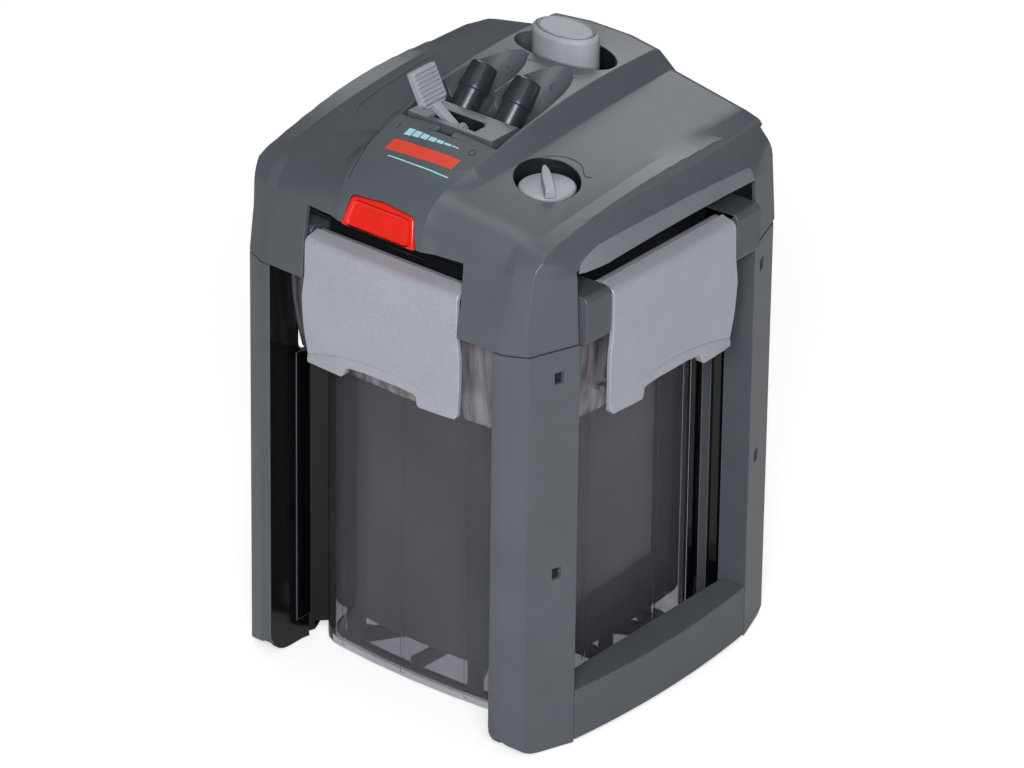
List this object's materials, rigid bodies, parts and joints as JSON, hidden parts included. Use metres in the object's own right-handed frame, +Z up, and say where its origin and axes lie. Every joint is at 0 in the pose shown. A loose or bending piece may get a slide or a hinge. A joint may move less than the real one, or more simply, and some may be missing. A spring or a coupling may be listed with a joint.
{
  "type": "canister filter",
  "caption": "External aquarium canister filter: clear tub between corner posts, pump head with snap clips, hose adapter with shut-off lever, primer button and flow knob.",
  "frame": {"origin": "middle of the filter's footprint on the floor, under the rubber feet", "axes": "+Z up, -Y to the front with the red button and the front clip, +X to the right as seen from the front, with the flow knob"},
  "size_m": [0.2406, 0.2432, 0.3777],
  "materials": {
    "housing": "satin dark blue-grey, fine grain",
    "smoked_tub": "clear smoke-grey moulded plastic",
    "black_plastic": "moulded, satin black",
    "rubber": "soft black rubber",
    "steel": "stainless, drawn",
    "clip_grey": "silver-grey with a fine sparkle",
    "spigot_grey": "smooth dark grey",
    "control_grey": "light grey, satin",
    "red_plastic": "polished red",
    "ceramic": "off-white, porous",
    "bio": "brown sintered balls",
    "foam": "open-cell foam and floss"
  },
  "bodies": {
    "frame_and_head": {"canister": "smoked_tub", "post_front_left": "housing", "post_front_right": "housing", "post_rear_left": "housing", "post_rear_right": "housing", "base_bar_left": "housing", "base_bar_right": "housing", "rubber_feet": "rubber", "head_cover": "housing", "pump_head_case": "black_plastic", "seal_ring": "rubber", "cover_screws": "steel", "cable_gland": "rubber", "clip_pin_front": "steel", "clip_pin_rear": "steel", "clip_pin_left": "steel", "clip_pin_right": "steel", "primer_spring": "steel", "motor_block": "black_plastic", "impeller_shaft": "ceramic", "shaft_bushes": "rubber", "pump_chamber_lid": "black_plastic", "inlet_pipe": "black_plastic", "floor_grid": "black_plastic", "basket_lower": "black_plastic", "basket_middle": "black_plastic", "basket_upper": "black_plastic", "prefilter_tray": "black_plastic", "ceramic_media": "ceramic", "bio_media": "bio", "filter_pads": "foam", "prefilter_sponge": "foam"},
    "front_clip": {"clip_front": "clip_grey"},
    "rear_clip": {"clip_rear": "clip_grey"},
    "left_clip": {"clip_left": "clip_grey"},
    "right_clip": {"clip_right": "clip_grey"},
    "adapter": {"adapter_body": "housing", "spigot_inlet": "spigot_grey", "spigot_outlet": "spigot_grey", "adapter_seals": "rubber", "lever_pin": "steel"},
    "shutoff_lever": {"lever": "control_grey"},
    "valve_gate": {"valve_slide": "control_grey"},
    "knob": {"flow_knob": "control_grey", "bypass_spool": "control_grey"},
    "primer": {"primer_button": "control_grey", "primer_piston": "black_plastic"},
    "release_button": {"red_button": "red_plastic"},
    "rotor": {"impeller": "black_plastic"}
  },
  "joints": [
    {"name": "front_clip_hinge", "type": "hinge", "parent": "frame_and_head", "child": "front_clip", "pos_m": [0, -0.106, 0.283], "axis": [-1, 0, 0], "range_deg": [0, 100]},
    {"name": "rear_clip_hinge", "type": "hinge", "parent": "frame_and_head", "child": "rear_clip", "pos_m": [0, 0.106, 0.283], "axis": [1, 0, 0], "range_deg": [0, 100]},
    {"name": "left_clip_hinge", "type": "hinge", "parent": "frame_and_head", "child": "left_clip", "pos_m": [-0.106, 0, 0.283], "axis": [0, 1, 0], "range_deg": [0, 100]},
    {"name": "right_clip_hinge", "type": "hinge", "parent": "frame_and_head", "child": "right_clip", "pos_m": [0.106, 0, 0.283], "axis": [0, -1, 0], "range_deg": [0, 100]},
    {"name": "adapter_lift", "type": "slide", "parent": "frame_and_head", "child": "adapter", "axis": [0, 0, 1], "range_m": [0, 0.03]},
    {"name": "lever_turn", "type": "hinge", "parent": "adapter", "child": "shutoff_lever", "pos_m": [0, -0.05, 0.3455], "axis": [0, 1, 0], "range_deg": [0, 116]},
    {"name": "gate_slide", "type": "slide", "parent": "adapter", "child": "valve_gate", "axis": [-1, 0, 0], "range_m": [0, 0.00932]},
    {"name": "knob_turn", "type": "hinge", "parent": "frame_and_head", "child": "knob", "pos_m": [0.0646, -0.05, 0.3324], "axis": [0, 0, -1], "range_deg": [0, 85]},
    {"name": "primer_press", "type": "slide", "parent": "frame_and_head", "child": "primer", "axis": [0, 0, -1], "range_m": [0, 0.012], "stiffness_N_per_m": 400, "springref_m": -0.004, "deforming": ["primer_spring"]},
    {"name": "release_press", "type": "slide", "parent": "frame_and_head", "child": "release_button", "axis": [0, 0.9511, -0.309], "range_m": [0, 0.003], "stiffness_N_per_m": 600, "springref_m": -0.001},
    {"name": "rotor_spin", "type": "hinge", "parent": "frame_and_head", "child": "rotor", "pos_m": [-0.052, 0.008, 0.25], "axis": [0, 0, 1], "continuous": true}
  ],
  "couplings": [
    {"joint": "gate_slide", "follows": "lever_turn", "m_per_rad": 0.0046}
  ]
}
